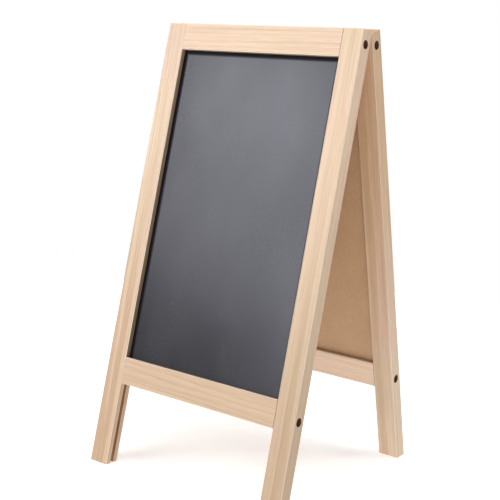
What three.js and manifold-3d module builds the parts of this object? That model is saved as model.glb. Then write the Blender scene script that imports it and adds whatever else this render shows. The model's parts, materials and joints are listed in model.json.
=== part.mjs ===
// A small tabletop sandwich board: two identical pine frames, each holding a thin chalkboard
// panel, hinged together along their top rails so that they stand open as an A or fold flat.
// Millimetres, +Z up. The origin is on the floor, midway between the four feet.
// X runs across the board, -Y is the front. Left and right are as seen from the front.

import * as THREE from "three";
import { mergeVertices } from "three/addons/utils/BufferGeometryUtils.js";
import Module from "manifold-3d";

const wasm = await Module();
wasm.setup();

// ---- Driving dimensions ----

const FIT_GAP = 0.3; // clearance left between pieces that touch
const CLOSE_GAP = 0.15; // clearance round tenons, screws and hinge barrels
const CUT_PAST = 1; // how far a cut runs on beyond the face it starts from

// Frame
const WIDTH = 200; // across both stiles
const STILE_LENGTH = 391; // along the outer face
const STILE_WIDTH = 19;
const THICKNESS = 13;
const TOP_RAIL_HEIGHT = 23;
const BOTTOM_RAIL_HEIGHT = 23;
const LEG_BELOW_RAIL = 71.5; // from the bottom rail's lower edge down to the foot, on the outer face
const ARRIS_RADIUS = 0.8; // rounding of the long edges
const LEAN_DEG = 13.1; // of each frame from upright when the board stands open
const TOP_BEVEL = 2; // planed off the inner top edge of each frame, where the two frames meet

// Panel, and the groove that holds it
const PANEL_THICKNESS = 3;
const PANEL_EASING = 0.25; // chamfer round the panel's edge
const GROOVE_WIDTH = 3.5;
const GROOVE_DEPTH = 5;
const GROOVE_SETBACK = 5; // from the outer face to the groove
const TENON_THICKNESS = GROOVE_WIDTH - 2 * CLOSE_GAP;
const TENON_LENGTH = GROOVE_DEPTH - FIT_GAP;

// Screws through the stiles into the ends of the rails
const TOP_SCREW_DROP = 11.4; // below the top end
const BOTTOM_SCREW_RISE = 9.2; // above the bottom rail's lower edge
const COUNTERBORE = { radius: 3.7, depth: 7 };
const CLEARANCE_BORE_RADIUS = 2;
const PILOT_BORE = { radius: 1.85, depth: 25 };
const FRAME_SCREW = {
  headRadius: 3.3,
  headHeight: 2.2,
  headRound: 0.5,
  shankRadius: 1.75,
  length: 35,
  tip: 4,
};
const SOCKET = { radius: 1.3, depth: 1.3 };
const TIP_RADIUS = 0.3;

// Hinges between the two top rails
const HINGE_LENGTH = 25;
const HINGE_OFFSET = 45; // from the middle of the board to the middle of a hinge
const FOLDED_SPACE = 3; // between the two inner faces when the board is folded flat
const LEAF_THICKNESS = 1;
const LEAF_HEIGHT = 13.5; // from the pin's axis to the leaf's lower edge
const BARREL_RADIUS = FOLDED_SPACE / 2 - CLOSE_GAP;
const PIN_RADIUS = 0.75;
const PIN_HEAD = { radius: 1.2, height: 0.6 };
const KNUCKLE_GAP = 0.3;
const HINGE_SCREW = { headRadius: 2, shankRadius: 1.05, length: 9, tip: 2 };
const HINGE_SCREW_DROP = 7.8; // below the pin's axis
const HINGE_SCREW_SPREAD = 8; // either way from the hinge's middle
const HINGE_PILOT_DEPTH = 10;

const ROUND_SEGMENTS = 16;
const ARC_SEGMENTS = 3;

// ---- Sizes that follow from them ----

const lean = THREE.MathUtils.degToRad(LEAN_DEG);
const openingWidth = WIDTH - 2 * STILE_WIDTH;
const grooveCentre = GROOVE_SETBACK + GROOVE_WIDTH / 2 - THICKNESS; // local y
const bottomRailBase = LEG_BELOW_RAIL; // local z of the bottom rail's lower edge
const topRailBase = STILE_LENGTH - TOP_RAIL_HEIGHT;
const bottomRailTop = bottomRailBase + BOTTOM_RAIL_HEIGHT;

// The two inner top edges stand a fit gap apart when the board is open, and that contact is the
// stop. The hinge pin lies on the middle plane, half the folded space from each inner face.
const contactRise = STILE_LENGTH - TOP_BEVEL; // local z of the edge that meets the other frame
const pinBelowContact = ((FOLDED_SPACE / 2) * Math.cos(lean) - FIT_GAP / 2) / Math.sin(lean);
const pinRise = contactRise - pinBelowContact; // local z of the pin's axis

// A frame's own axes: x across, z up the stiles from the lower edge of the outer face, y = 0 on
// the inner face and y = -THICKNESS on the outer face. The frame leans back about the x axis, and
// is let down until that lower edge is on the floor.
const footDrop = THICKNESS * Math.sin(lean);
const frameShift = -(FIT_GAP / 2 + contactRise * Math.sin(lean));

// ---- Colours ----

const PINE = { color: 0xe9cba8, roughness: 0.6, metalness: 0 };
const CHALKBOARD = { color: 0x1c1d20, roughness: 0.4, metalness: 0 };
const ZINC_STEEL = { color: 0x8f8b80, roughness: 0.4, metalness: 1 };
const BRASSED_STEEL = { color: 0xb09a62, roughness: 0.35, metalness: 1 };

// ---- Solid helpers ----

function solidFrom(geometry, matrix = new THREE.Matrix4()) {
  const bare = geometry.clone();
  bare.deleteAttribute("normal");
  bare.deleteAttribute("uv");
  bare.applyMatrix4(matrix);
  const merged = mergeVertices(bare, 1e-4);
  return new wasm.Manifold(
    new wasm.Mesh({
      numProp: 3,
      vertProperties: new Float32Array(merged.attributes.position.array),
      triVerts: new Uint32Array(merged.index.array),
    }),
  );
}

function geometryFrom(solid) {
  const { vertProperties, triVerts } = solid.getMesh();
  const geometry = new THREE.BufferGeometry();
  geometry.setAttribute("position", new THREE.BufferAttribute(vertProperties, 3));
  geometry.setIndex(new THREE.BufferAttribute(triVerts, 1));
  geometry.computeVertexNormals();
  return geometry;
}

function boxSolid(low, high) {
  const size = high.map((value, axis) => value - low[axis]);
  const centre = high.map((value, axis) => (value + low[axis]) / 2);
  const place = new THREE.Matrix4().makeTranslation(...centre);
  return solidFrom(new THREE.BoxGeometry(...size), place);
}

// A solid turned about an axis that starts at `from` and points along `direction`. The profile is
// a list of [radius, distance along the axis], starting and ending on the axis.
function turnedSolid(profile, from, direction) {
  const points = profile.map(([radius, along]) => new THREE.Vector2(radius, along));
  const place = new THREE.Matrix4().compose(
    new THREE.Vector3(...from),
    new THREE.Quaternion().setFromUnitVectors(
      new THREE.Vector3(0, 1, 0),
      new THREE.Vector3(...direction),
    ),
    new THREE.Vector3(1, 1, 1),
  );
  return solidFrom(new THREE.LatheGeometry(points, ROUND_SEGMENTS), place);
}

function boreSolid(radius, from, direction, depth) {
  const profile = [
    [0, 0],
    [radius, 0],
    [radius, depth],
    [0, depth],
  ];
  return turnedSolid(profile, from, direction);
}

function cutAll(solid, cutters) {
  return cutters.reduce((rest, cutter) => rest.subtract(cutter), solid);
}

function namedMesh(name, solid, look) {
  const mesh = new THREE.Mesh(geometryFrom(solid), new THREE.MeshStandardMaterial(look));
  mesh.name = name;
  return mesh;
}

// ---- Wooden pieces, in a frame's own axes ----

// A rectangle with rounded corners, traced once round.
function easedRectangle(left, right, low, high) {
  const shape = new THREE.Shape();
  const r = ARRIS_RADIUS;
  shape.moveTo(left + r, low);
  shape.lineTo(right - r, low);
  shape.absarc(right - r, low + r, r, -Math.PI / 2, 0);
  shape.lineTo(right, high - r);
  shape.absarc(right - r, high - r, r, 0, Math.PI / 2);
  shape.lineTo(left + r, high);
  shape.absarc(left + r, high - r, r, Math.PI / 2, Math.PI);
  shape.lineTo(left, low + r);
  shape.absarc(left + r, low + r, r, Math.PI, 1.5 * Math.PI);
  return shape;
}

function extruded(shape, depth) {
  return new THREE.ExtrudeGeometry(shape, {
    depth,
    bevelEnabled: false,
    curveSegments: ARC_SEGMENTS,
  });
}

// Turns an extrusion drawn in (y, z) and grown along its own z into one grown along x.
const yzxAxes = new THREE.Matrix4().makeBasis(
  new THREE.Vector3(0, 1, 0),
  new THREE.Vector3(0, 0, 1),
  new THREE.Vector3(1, 0, 0),
);

// The bevel on the inner top edge: a prism across the whole frame.
function topBevelCutter() {
  const shape = new THREE.Shape();
  shape.moveTo(-TOP_BEVEL, 0);
  shape.lineTo(0, -TOP_BEVEL);
  shape.lineTo(CUT_PAST, -TOP_BEVEL);
  shape.lineTo(CUT_PAST, CUT_PAST);
  shape.lineTo(-TOP_BEVEL, CUT_PAST);
  const prism = extruded(shape, WIDTH + 2 * CUT_PAST);
  const place = new THREE.Matrix4()
    .makeTranslation(-WIDTH / 2 - CUT_PAST, 0, STILE_LENGTH)
    .multiply(yzxAxes);
  return solidFrom(prism, place);
}

// Everything below the level floor, which the feet are sawn to.
function floorCutter() {
  const reach = 4 * THICKNESS;
  const place = new THREE.Matrix4()
    .makeRotationX(lean)
    .multiply(new THREE.Matrix4().makeTranslation(0, 0, footDrop - reach / 2));
  return solidFrom(new THREE.BoxGeometry(2 * WIDTH, reach, reach), place);
}

function screwPlaces() {
  return {
    top: STILE_LENGTH - TOP_SCREW_DROP,
    bottom: bottomRailBase + BOTTOM_SCREW_RISE,
  };
}

function stileSolid(side) {
  const outer = (side * WIDTH) / 2;
  const inner = side * (WIDTH / 2 - STILE_WIDTH);
  const left = Math.min(outer, inner);
  const right = Math.max(outer, inner);
  const blank = solidFrom(
    extruded(easedRectangle(left, right, -THICKNESS, 0), STILE_LENGTH + footDrop),
    new THREE.Matrix4().makeTranslation(0, 0, -footDrop),
  );
  const grooveMouth = inner - side * CUT_PAST;
  const grooveBottom = inner + side * GROOVE_DEPTH;
  const groove = boxSolid(
    [Math.min(grooveBottom, grooveMouth), grooveCentre - GROOVE_WIDTH / 2, -footDrop - CUT_PAST],
    [Math.max(grooveBottom, grooveMouth), grooveCentre + GROOVE_WIDTH / 2, STILE_LENGTH + CUT_PAST],
  );
  const bores = Object.values(screwPlaces()).flatMap((rise) => {
    const mouth = [outer + side * CUT_PAST, -THICKNESS / 2, rise];
    return [
      boreSolid(COUNTERBORE.radius, mouth, [-side, 0, 0], COUNTERBORE.depth + CUT_PAST),
      boreSolid(CLEARANCE_BORE_RADIUS, mouth, [-side, 0, 0], STILE_WIDTH + 2 * CUT_PAST),
    ];
  });
  return cutAll(blank, [groove, floorCutter(), topBevelCutter(), ...bores]);
}

// A rail with its stub tenons. `panelSide` is +1 where the panel enters from above, -1 from below.
function railSolid(base, height, panelSide, screwRise) {
  const halfLength = openingWidth / 2 - FIT_GAP / 2;
  const section = easedRectangle(-THICKNESS, 0, 0, height);
  const blank = solidFrom(
    extruded(section, 2 * halfLength),
    new THREE.Matrix4().makeTranslation(-halfLength, 0, base).multiply(yzxAxes),
  );
  const haunch = GROOVE_DEPTH + FIT_GAP; // cut off the tenon beside the panel
  const tenonLow = panelSide > 0 ? base : base + haunch;
  const tenonHigh = panelSide > 0 ? base + height - haunch : base + height;
  const grooveLow = panelSide > 0 ? base + height - GROOVE_DEPTH : base - CUT_PAST;
  const tenon = boxSolid(
    [-halfLength - TENON_LENGTH, grooveCentre - TENON_THICKNESS / 2, tenonLow],
    [halfLength + TENON_LENGTH, grooveCentre + TENON_THICKNESS / 2, tenonHigh],
  );
  const groove = boxSolid(
    [-WIDTH, grooveCentre - GROOVE_WIDTH / 2, grooveLow],
    [WIDTH, grooveCentre + GROOVE_WIDTH / 2, grooveLow + GROOVE_DEPTH + CUT_PAST],
  );
  const pilots = [-1, 1].map((side) =>
    boreSolid(
      PILOT_BORE.radius + CLOSE_GAP,
      [side * (halfLength + TENON_LENGTH + CUT_PAST), -THICKNESS / 2, screwRise],
      [-side, 0, 0],
      PILOT_BORE.depth + TENON_LENGTH,
    ),
  );
  return cutAll(blank.add(tenon), [groove, ...pilots]);
}

function hingeScrewPlaces() {
  const rise = pinRise - HINGE_SCREW_DROP;
  return [-1, 1].flatMap((side) =>
    [-1, 1].map((end) => ({
      side,
      end,
      x: side * HINGE_OFFSET + end * HINGE_SCREW_SPREAD,
      rise,
    })),
  );
}

function topRailSolid() {
  const rail = railSolid(topRailBase, TOP_RAIL_HEIGHT, -1, screwPlaces().top);
  const pilots = hingeScrewPlaces().map(({ x, rise }) =>
    boreSolid(
      HINGE_SCREW.shankRadius + CLOSE_GAP,
      [x, CUT_PAST, rise],
      [0, -1, 0],
      HINGE_PILOT_DEPTH + CUT_PAST,
    ),
  );
  return cutAll(rail, [topBevelCutter(), ...pilots]);
}

function panelSolid() {
  const reach = GROOVE_DEPTH - FIT_GAP;
  const halfWidth = openingWidth / 2 + reach;
  const low = bottomRailTop - reach;
  const high = topRailBase + reach;
  const shape = new THREE.Shape();
  shape.moveTo(-halfWidth, low);
  shape.lineTo(halfWidth, low);
  shape.lineTo(halfWidth, high);
  shape.lineTo(-halfWidth, high);
  const board = new THREE.ExtrudeGeometry(shape, {
    depth: PANEL_THICKNESS - 2 * PANEL_EASING,
    bevelEnabled: true,
    bevelThickness: PANEL_EASING,
    bevelSize: PANEL_EASING,
    bevelOffset: -PANEL_EASING,
    bevelSegments: 1,
  });
  const place = new THREE.Matrix4()
    .makeTranslation(0, grooveCentre + PANEL_THICKNESS / 2 - PANEL_EASING, 0)
    .multiply(new THREE.Matrix4().makeRotationX(Math.PI / 2));
  return solidFrom(board, place);
}

// ---- Screws ----

// A plain shank with a pointed end, below a head that the profile starts with.
function shankProfile({ shankRadius, length, tip }) {
  return [
    [shankRadius, length - tip],
    [TIP_RADIUS, length],
    [0, length],
  ];
}

// A pan head with a round socket, standing on the counterbore's floor.
function frameScrewSolid(side, rise) {
  const { headRadius, headHeight, headRound, shankRadius } = FRAME_SCREW;
  const profile = [
    [0, SOCKET.depth],
    [SOCKET.radius, SOCKET.depth],
    [SOCKET.radius, 0],
    [headRadius - headRound, 0],
    [headRadius, headRound],
    [headRadius, headHeight],
    [shankRadius, headHeight],
    ...shankProfile(FRAME_SCREW),
  ];
  const top = WIDTH / 2 - COUNTERBORE.depth + headHeight + CLOSE_GAP;
  return turnedSolid(profile, [side * top, -THICKNESS / 2, rise], [-side, 0, 0]);
}

// A flat countersunk head, flush with the leaf.
function hingeScrewSolid({ x, rise }) {
  const { headRadius, shankRadius } = HINGE_SCREW;
  const profile = [
    [0, 0],
    [headRadius, 0],
    [shankRadius, headRadius - shankRadius],
    ...shankProfile(HINGE_SCREW),
  ];
  return turnedSolid(profile, [x, CLOSE_GAP + LEAF_THICKNESS, rise], [0, -1, 0]);
}

// ---- Hinges, in a frame's own axes ----

// The spans along x of the barrel's three knuckles: the front leaf has the two end ones.
function knuckleSpans(isFront) {
  const third = HINGE_LENGTH / 3;
  const half = HINGE_LENGTH / 2;
  const gap = KNUCKLE_GAP / 2;
  if (isFront) {
    return [
      [-half, -third / 2 - gap],
      [third / 2 + gap, half],
    ];
  }
  return [[-third / 2 + gap, third / 2 - gap]];
}

// One leaf: a plate with two countersunk holes, curled into knuckles round the pin.
function leafSolid(isFront, side) {
  const centre = side * HINGE_OFFSET;
  const pinY = FOLDED_SPACE / 2;
  const plateTop = pinRise - BARREL_RADIUS - CLOSE_GAP;
  const plateLow = CLOSE_GAP;
  const plateHigh = CLOSE_GAP + LEAF_THICKNESS;
  const half = HINGE_LENGTH / 2;
  let leaf = boxSolid(
    [centre - half, plateLow, pinRise - LEAF_HEIGHT],
    [centre + half, plateHigh, plateTop],
  );
  for (const [start, end] of knuckleSpans(isFront)) {
    const tail = boxSolid(
      [centre + start, plateLow, plateTop - CUT_PAST],
      [centre + end, plateHigh, pinRise],
    );
    const knuckle = boreSolid(BARREL_RADIUS, [centre + start, pinY, pinRise], [1, 0, 0], end - start);
    leaf = leaf.add(tail).add(knuckle);
  }
  const cone = HINGE_SCREW.headRadius + CLOSE_GAP;
  const shank = HINGE_SCREW.shankRadius + CLOSE_GAP;
  const through = LEAF_THICKNESS + CUT_PAST;
  const countersink = [
    [0, -CUT_PAST],
    [cone, -CUT_PAST],
    [cone, 0],
    [shank, cone - shank],
    [shank, through],
    [0, through],
  ];
  const screwHoles = hingeScrewPlaces()
    .filter((place) => place.side === side)
    .map(({ x, rise }) =>
      turnedSolid(countersink, [x, plateHigh, rise], [0, -1, 0]),
    );
  const pinHole = boreSolid(
    PIN_RADIUS + CLOSE_GAP,
    [centre - HINGE_LENGTH, pinY, pinRise],
    [1, 0, 0],
    2 * HINGE_LENGTH,
  );
  return cutAll(leaf, [pinHole, ...screwHoles]);
}

function pinSolid(side) {
  const reach = HINGE_LENGTH / 2 + CLOSE_GAP;
  const { radius, height } = PIN_HEAD;
  const profile = [
    [0, 0],
    [radius, 0],
    [radius, height],
    [PIN_RADIUS, height],
    [PIN_RADIUS, height + 2 * reach],
    [radius, height + 2 * reach],
    [radius, 2 * (height + reach)],
    [0, 2 * (height + reach)],
  ];
  const end = side * HINGE_OFFSET - reach - height;
  return turnedSolid(profile, [end, FOLDED_SPACE / 2, pinRise], [1, 0, 0]);
}

// ---- Assembly ----

// One frame's wood, panel, screws and hinge leaves. The rear frame is the same frame turned about
// the vertical, so `facing` is +1 for the front and -1 for the rear, and its sides swap over.
function addFrame(group, name, facing) {
  const sideName = (side) => (side * facing < 0 ? "left" : "right");
  for (const side of [-1, 1]) {
    group.add(namedMesh(`${name}_${sideName(side)}_stile`, stileSolid(side), PINE));
    for (const [level, rise] of Object.entries(screwPlaces())) {
      const screw = frameScrewSolid(side, rise);
      group.add(namedMesh(`${name}_${level}_${sideName(side)}_screw`, screw, ZINC_STEEL));
    }
    const leaf = leafSolid(facing > 0, side);
    group.add(namedMesh(`${sideName(side)}_hinge_${name}_leaf`, leaf, BRASSED_STEEL));
  }
  group.add(namedMesh(`${name}_top_rail`, topRailSolid(), PINE));
  const bottomRail = railSolid(bottomRailBase, BOTTOM_RAIL_HEIGHT, 1, screwPlaces().bottom);
  group.add(namedMesh(`${name}_bottom_rail`, bottomRail, PINE));
  group.add(namedMesh(`${name}_panel`, panelSolid(), CHALKBOARD));
  for (const place of hingeScrewPlaces()) {
    const hinge = sideName(place.side);
    const end = place.side * place.end > 0 ? "outer" : "inner";
    const screw = hingeScrewSolid(place);
    group.add(namedMesh(`${hinge}_hinge_${name}_${end}_screw`, screw, BRASSED_STEEL));
  }
}

const group = new THREE.Group();
for (const [name, facing] of Object.entries({ front: 1, rear: -1 })) {
  const turned = new THREE.Group();
  turned.rotation.z = facing > 0 ? 0 : Math.PI;
  const leaning = new THREE.Group();
  leaning.rotation.x = -lean;
  leaning.position.set(0, frameShift, -footDrop);
  addFrame(leaning, name, facing);
  if (facing > 0) {
    leaning.add(namedMesh("left_hinge_pin", pinSolid(-1), BRASSED_STEEL));
    leaning.add(namedMesh("right_hinge_pin", pinSolid(1), BRASSED_STEEL));
  }
  turned.add(leaning);
  group.add(turned);
}

export default group;
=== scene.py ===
"""The looks of a small tabletop sandwich board in bare pine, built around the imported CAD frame.

Everything is in metres in the CAD's axes: +Z up, X across the board, -Y the front. The wooden
pieces, panels, screws and hinges are built here in finer detail than the CAD solids they stand
for, at the same sizes. Sizes are written in millimetres and turned into metres by the matrices.
"""
import json
import math

import bmesh
import bpy
from mathutils import Matrix, Vector


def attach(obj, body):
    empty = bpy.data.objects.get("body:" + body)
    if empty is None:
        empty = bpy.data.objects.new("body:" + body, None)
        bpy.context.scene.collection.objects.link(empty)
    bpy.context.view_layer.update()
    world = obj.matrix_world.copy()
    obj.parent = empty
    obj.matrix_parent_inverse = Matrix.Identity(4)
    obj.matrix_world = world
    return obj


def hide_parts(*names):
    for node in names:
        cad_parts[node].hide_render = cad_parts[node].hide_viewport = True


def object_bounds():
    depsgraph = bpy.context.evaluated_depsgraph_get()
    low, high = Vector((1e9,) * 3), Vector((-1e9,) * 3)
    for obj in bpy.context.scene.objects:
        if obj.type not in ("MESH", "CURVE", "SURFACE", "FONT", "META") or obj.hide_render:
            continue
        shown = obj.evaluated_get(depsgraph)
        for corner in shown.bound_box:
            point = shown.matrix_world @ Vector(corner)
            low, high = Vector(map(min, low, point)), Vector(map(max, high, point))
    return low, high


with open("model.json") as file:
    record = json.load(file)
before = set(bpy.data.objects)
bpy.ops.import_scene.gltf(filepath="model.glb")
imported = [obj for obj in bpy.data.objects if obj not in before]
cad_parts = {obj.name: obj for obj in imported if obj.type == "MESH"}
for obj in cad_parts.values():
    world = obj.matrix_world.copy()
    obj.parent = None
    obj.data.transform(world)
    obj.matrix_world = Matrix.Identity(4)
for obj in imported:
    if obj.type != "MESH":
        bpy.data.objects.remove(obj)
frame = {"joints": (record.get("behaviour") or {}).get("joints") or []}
cad_low, cad_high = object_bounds()

MM = 0.001

# ---- Driving dimensions, in millimetres, the same as the CAD's ----

WIDTH = (cad_high.x - cad_low.x) / MM
STILE_LENGTH = 391.0
STILE_WIDTH = 19.0
THICKNESS = 13.0
RAIL_HEIGHT = 23.0
LEG_BELOW_RAIL = 71.5
TOP_BEVEL = 2.0
FIT_GAP = 0.3
CLOSE_GAP = 0.15
GROOVE_WIDTH = 3.5
GROOVE_DEPTH = 5.0
GROOVE_SETBACK = 5.0
PANEL_THICKNESS = 3.0
TENON_LENGTH = GROOVE_DEPTH - FIT_GAP
TOP_SCREW_DROP = 11.4
BOTTOM_SCREW_RISE = 9.2
COUNTERBORE_RADIUS = 3.7
COUNTERBORE_DEPTH = 7.0
CLEARANCE_BORE_RADIUS = 2.0
PILOT_RADIUS = 2.0
PILOT_DEPTH = 29.7
HINGE_LENGTH = 25.0
HINGE_OFFSET = 45.0
FOLDED_SPACE = 3.0
LEAF_THICKNESS = 1.0
LEAF_HEIGHT = 13.5
BARREL_RADIUS = FOLDED_SPACE / 2 - CLOSE_GAP
PIN_RADIUS = 0.75
PIN_HEAD_RADIUS = 1.2
PIN_HEAD_HEIGHT = 0.6
HINGE_SCREW_DROP = 7.8
HINGE_SCREW_SPREAD = 8.0
HINGE_PILOT_RADIUS = 1.2
HINGE_PILOT_DEPTH = 10.0

ARRIS = 0.8  # rounding of the long edges
END_EASING = 0.45  # rounding of the sawn ends
MOUTH_EASING = 0.2  # rounding of the groove's lips
BORE_EASING = 0.5  # rounding of the screw holes' mouths
OVERCUT = 1.0  # how far a cutter starts outside the face that it enters
WELD = 1e-4  # corners closer than this are one
TOUCH = 0.01  # a face this close to a surface lies on it
CIRCULAR = 0.5  # a bevel's profile that is part of a circle

# The frames' lean is half of the fold, and the hinge's height comes from the joint.
fold = frame["joints"][0]
LEAN = math.radians(-fold["range_deg"][0]) / 2
OPENING = WIDTH - 2 * STILE_WIDTH
GROOVE_CENTRE = GROOVE_SETBACK + GROOVE_WIDTH / 2 - THICKNESS
TOP_RAIL_BASE = STILE_LENGTH - RAIL_HEIGHT
BOTTOM_RAIL_TOP = LEG_BELOW_RAIL + RAIL_HEIGHT
CONTACT_RISE = STILE_LENGTH - TOP_BEVEL
FOOT_DROP = THICKNESS * math.sin(LEAN)
PIN_RISE = (fold["pos_m"][2] / MM + FOOT_DROP + FOLDED_SPACE / 2 * math.sin(LEAN)) / math.cos(LEAN)
SCREW_RISES = {"top": STILE_LENGTH - TOP_SCREW_DROP, "bottom": LEG_BELOW_RAIL + BOTTOM_SCREW_RISE}


def frame_matrix(facing):
    """A frame's own axes in millimetres (x across, z up the stiles, y = 0 on the inner face) to the
    row's axes in metres. facing is 1 for the front frame and -1 for the rear."""
    shift = -(FIT_GAP / 2 + CONTACT_RISE * math.sin(LEAN))
    turn = Matrix.Rotation(0 if facing > 0 else math.pi, 4, "Z")
    lean = Matrix.Translation((0, shift, -FOOT_DROP)) @ Matrix.Rotation(-LEAN, 4, "X")
    return Matrix.Scale(MM, 4) @ turn @ lean


# ---- Mesh helpers ----


def new_object(name, data):
    made = bpy.data.objects.new(name, data)
    bpy.context.scene.collection.objects.link(made)
    return made


def mesh_from(bm, name="work"):
    mesh = bpy.data.meshes.new(name)
    bmesh.ops.recalc_face_normals(bm, faces=bm.faces)
    bm.to_mesh(mesh)
    bm.free()
    return mesh


def arc(centre, radius, start, stop, steps):
    """Points on an arc, in degrees."""
    angles = [math.radians(start + (stop - start) * i / steps) for i in range(steps + 1)]
    return [(centre[0] + radius * math.cos(a), centre[1] + radius * math.sin(a)) for a in angles]


def rounded_rectangle(left, right, low, high, radius, steps=5):
    corners = [(right, low, -90), (right, high, 0), (left, high, 90), (left, low, 180)]
    points = []
    for x, y, start in corners:
        centre_x = x - math.copysign(radius, x - (left + right) / 2)
        centre_y = y - math.copysign(radius, y - (low + high) / 2)
        points += arc((centre_x, centre_y), radius, start, start + 90, steps)
    return points


def rectangle(left, right, low, high):
    return [(left, low), (right, low), (right, high), (left, high)]


def prism(outline, start, end, axis="z"):
    """An outline drawn in two axes and grown along the third: (x, y) along z, or (y, z) along x."""
    bm = bmesh.new()
    place = {"z": lambda a, b, c: (a, b, c), "x": lambda a, b, c: (c, a, b)}[axis]
    bottom = [bm.verts.new(place(a, b, start)) for a, b in outline]
    top = [bm.verts.new(place(a, b, end)) for a, b in outline]
    bm.faces.new(bottom[::-1])
    bm.faces.new(top)
    count = len(outline)
    for i in range(count):
        bm.faces.new([bottom[i], bottom[(i + 1) % count], top[(i + 1) % count], top[i]])
    return bm


def cut_off(bm, point, normal):
    """Saws a solid off at a plane and closes the cut. The side that the normal points to goes."""
    geometry = bm.verts[:] + bm.edges[:] + bm.faces[:]
    cut = bmesh.ops.bisect_plane(bm, geom=geometry, plane_co=point, plane_no=normal, clear_outer=True)
    edges = [e for e in cut["geom_cut"] if isinstance(e, bmesh.types.BMEdge)]
    bmesh.ops.contextual_create(bm, geom=edges)


def ease_edges(bm, chosen, offset, segments=3):
    """Rounds the edges for which chosen is true."""
    edges = [e for e in bm.edges if len(e.link_faces) == 2 and chosen(e)]
    bmesh.ops.bevel(
        bm,
        geom=edges,
        offset=offset,
        segments=segments,
        profile=CIRCULAR,
        affect="EDGES",
        clamp_overlap=True,
    )


def ring_angles(steps):
    return [2 * math.pi * i / steps for i in range(steps)]


def ring(bm, radius, z, steps):
    """A ring of corners about the z axis, or the single one that it is on the axis itself."""
    if radius == 0:
        return [bm.verts.new((0, 0, z))]
    return [bm.verts.new((radius * math.cos(a), radius * math.sin(a), z)) for a in ring_angles(steps)]


def skin(bm, rings, steps):
    """Faces from each ring to the next."""
    for lower, upper in zip(rings, rings[1:]):
        for i in range(steps):
            j = (i + 1) % steps
            corners = [lower[i % len(lower)], lower[j % len(lower)]]
            corners += [upper[j % len(upper)], upper[i % len(upper)]]
            distinct = list(dict.fromkeys(corners))
            if len(distinct) > 2:
                bm.faces.new(distinct)


def lathe(profile, steps=48):
    """A closed solid turned about its own z axis. The profile is (radius, z) from axis to axis."""
    bm = bmesh.new()
    skin(bm, [ring(bm, radius, z, steps) for radius, z in profile], steps)
    return bm


def drill(radius, depth, steps=48):
    """A plain round drill. z = 0 is the face that it enters, and +z goes in."""
    return lathe([(0, -OVERCUT), (radius, -OVERCUT), (radius, depth), (0, depth)], steps)


def dome(radius, height, angles):
    """The (radius, z) points of a dome from near its crown at z = 0, by angle from the axis."""
    return [(radius * math.sin(a), height * (1 - math.cos(a))) for a in angles]


def along(origin, direction):
    """Matrix that carries a lathe's z axis to a line from origin along direction."""
    turn = Vector((0, 0, 1)).rotation_difference(Vector(direction)).to_matrix().to_4x4()
    return Matrix.Translation(origin) @ turn


def placed(bm, matrix):
    bmesh.ops.transform(bm, matrix=matrix, verts=bm.verts)
    return bm


def combine(solid, others, operation):
    """Cuts others from a solid, or joins them to it, exactly. operation is DIFFERENCE or UNION."""
    target = new_object("work", mesh_from(solid))
    helpers = [new_object("helper", mesh_from(other)) for other in others]
    for helper in helpers:
        modifier = target.modifiers.new("work", "BOOLEAN")
        modifier.operation = operation
        modifier.solver = "EXACT"
        modifier.object = helper
    evaluated = target.evaluated_get(bpy.context.evaluated_depsgraph_get())
    result = bmesh.new()
    result.from_mesh(evaluated.to_mesh())
    evaluated.to_mesh_clear()
    for helper in [target] + helpers:
        mesh = helper.data
        bpy.data.objects.remove(helper)
        bpy.data.meshes.remove(mesh)
    return result


def finish_piece(node, made_of, bm, place, body, materials, crease=32.0):
    """Makes a node's piece from a solid in its own axes, in millimetres, which place carries to the
    row's. Edges stay sharp where they turn by more than crease, in degrees."""
    name = f"{node}_{made_of}"
    bmesh.ops.remove_doubles(bm, verts=bm.verts, dist=WELD)
    mesh = mesh_from(placed(bm, place), name)
    mesh.shade_smooth()
    mesh.set_sharp_from_angle(angle=math.radians(crease))
    for material in materials:
        mesh.materials.append(material)
    piece = new_object(name, mesh)
    weighted = piece.modifiers.new("weighted_normals", "WEIGHTED_NORMAL")
    weighted.keep_sharp = True
    weighted.weight = 100
    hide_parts(node)
    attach(piece, body)


# ---- Material helpers ----


def opaque(colour):
    """A colour's four numbers, or the socket that it comes from."""
    return colour if isinstance(colour, bpy.types.NodeSocket) else (*colour, 1.0)


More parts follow.
